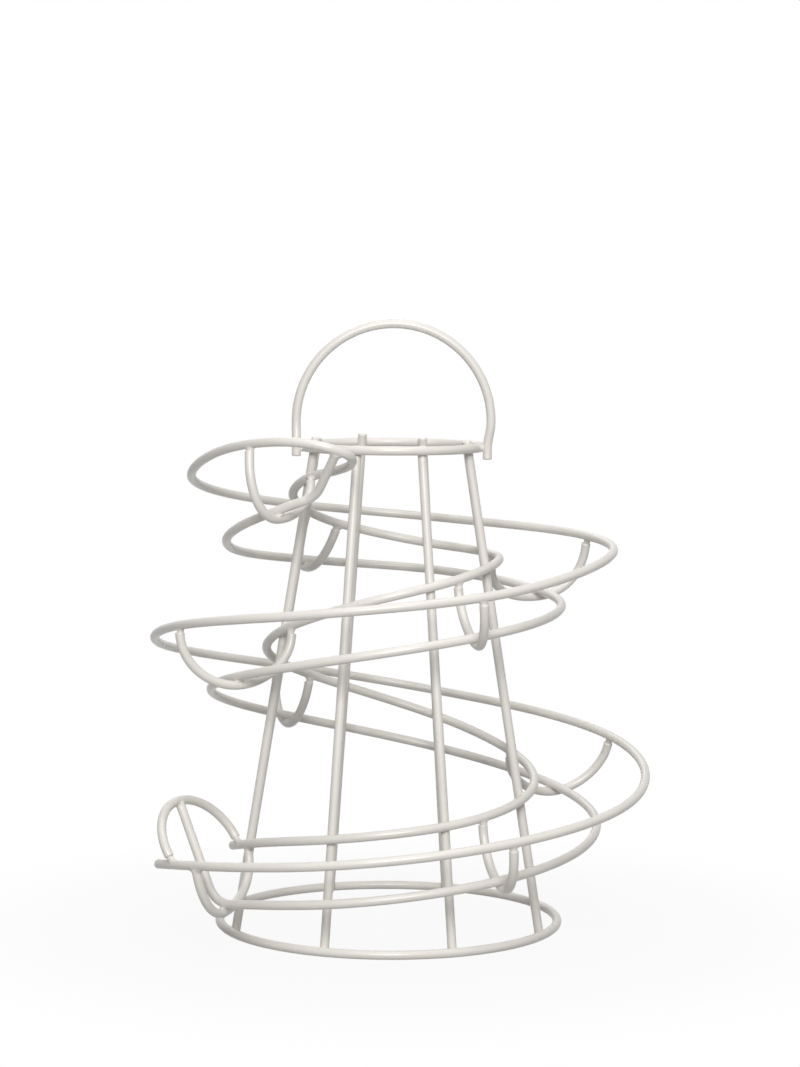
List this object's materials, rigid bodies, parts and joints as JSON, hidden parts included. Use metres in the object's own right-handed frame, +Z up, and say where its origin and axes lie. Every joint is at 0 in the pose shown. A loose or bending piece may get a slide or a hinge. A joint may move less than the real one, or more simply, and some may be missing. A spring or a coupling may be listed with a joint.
{
  "type": "rolling egg dispenser",
  "caption": "Cone-shaped coated wire rack with a spiral egg run that winds down round straight uprights to an end stop, with an arched carrying handle on top.",
  "frame": {"origin": "middle of the whole part's plan, on the surface that the base ring stands on", "axes": "+Z up, the front is -Y, the entry loop and the end stop are at the front left (-X, -Y)"},
  "size_m": [0.2645, 0.2695, 0.3206],
  "materials": {
    "coated_wire_base_ring": "glossy off-white powder coating",
    "coated_wire_top_ring": "glossy off-white powder coating",
    "coated_wire_upright_1": "glossy off-white powder coating",
    "coated_wire_upright_2": "glossy off-white powder coating",
    "coated_wire_upright_3": "glossy off-white powder coating",
    "coated_wire_upright_4": "glossy off-white powder coating",
    "coated_wire_upright_5": "glossy off-white powder coating",
    "coated_wire_upright_6": "glossy off-white powder coating",
    "coated_wire_upright_7": "glossy off-white powder coating",
    "coated_wire_upright_8": "glossy off-white powder coating",
    "coated_wire_carry_handle": "glossy off-white powder coating",
    "coated_wire_outer_rail": "glossy off-white powder coating",
    "coated_wire_inner_rail": "glossy off-white powder coating",
    "coated_wire_bottom_rail": "glossy off-white powder coating",
    "coated_wire_rib_1": "glossy off-white powder coating",
    "coated_wire_rib_2": "glossy off-white powder coating",
    "coated_wire_rib_3": "glossy off-white powder coating",
    "coated_wire_rib_4": "glossy off-white powder coating",
    "coated_wire_rib_5": "glossy off-white powder coating",
    "coated_wire_rib_6": "glossy off-white powder coating",
    "coated_wire_rib_7": "glossy off-white powder coating",
    "coated_wire_rib_8": "glossy off-white powder coating",
    "coated_wire_rib_9": "glossy off-white powder coating",
    "coated_wire_end_stop": "glossy off-white powder coating"
  },
  "bodies": {
    "root": {"base_ring": "coated_wire_base_ring", "top_ring": "coated_wire_top_ring", "upright_1": "coated_wire_upright_1", "upright_2": "coated_wire_upright_2", "upright_3": "coated_wire_upright_3", "upright_4": "coated_wire_upright_4", "upright_5": "coated_wire_upright_5", "upright_6": "coated_wire_upright_6", "upright_7": "coated_wire_upright_7", "upright_8": "coated_wire_upright_8", "carry_handle": "coated_wire_carry_handle", "outer_rail": "coated_wire_outer_rail", "inner_rail": "coated_wire_inner_rail", "bottom_rail": "coated_wire_bottom_rail", "rib_1": "coated_wire_rib_1", "rib_2": "coated_wire_rib_2", "rib_3": "coated_wire_rib_3", "rib_4": "coated_wire_rib_4", "rib_5": "coated_wire_rib_5", "rib_6": "coated_wire_rib_6", "rib_7": "coated_wire_rib_7", "rib_8": "coated_wire_rib_8", "rib_9": "coated_wire_rib_9", "end_stop": "coated_wire_end_stop"}
  },
  "joints": []
}
